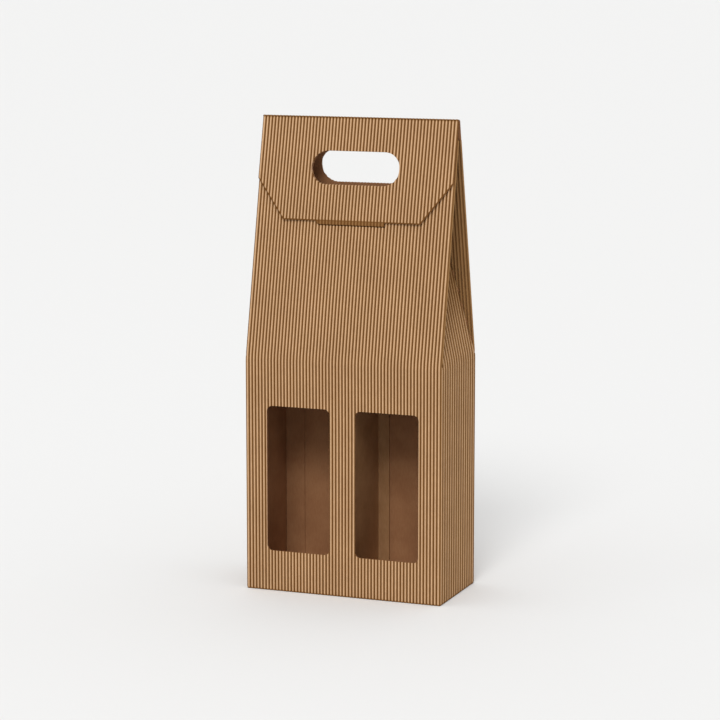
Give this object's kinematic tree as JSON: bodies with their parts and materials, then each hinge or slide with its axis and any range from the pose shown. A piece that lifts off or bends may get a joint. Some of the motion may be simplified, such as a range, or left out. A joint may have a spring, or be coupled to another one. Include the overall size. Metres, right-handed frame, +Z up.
{
  "type": "bottle carrier box",
  "caption": "folded corrugated kraft carrier box for two bottles, with two front windows, a gable top, a hand hole and a closure flap that tucks into a slit",
  "frame": {"origin": "middle of the base, on the surface it stands on", "axes": "+Z up, -Y towards the front with the windows, +X along the width"},
  "size_m": [0.18, 0.09, 0.41],
  "materials": {
    "kraft_board": "matt brown kraft board, upright flutes outside, plain liner inside",
    "divider_board": "matt brown kraft board, plain"
  },
  "bodies": {
    "box": {"carton": "kraft_board", "divider": "divider_board"},
    "flap": {"closure_flap": "kraft_board"}
  },
  "joints": [
    {"name": "flap_hinge", "type": "hinge", "parent": "box", "child": "flap", "pos_m": [0, -0.00321, 0.40925], "axis": [-1, 0, 0], "range_deg": [0, 155]}
  ]
}
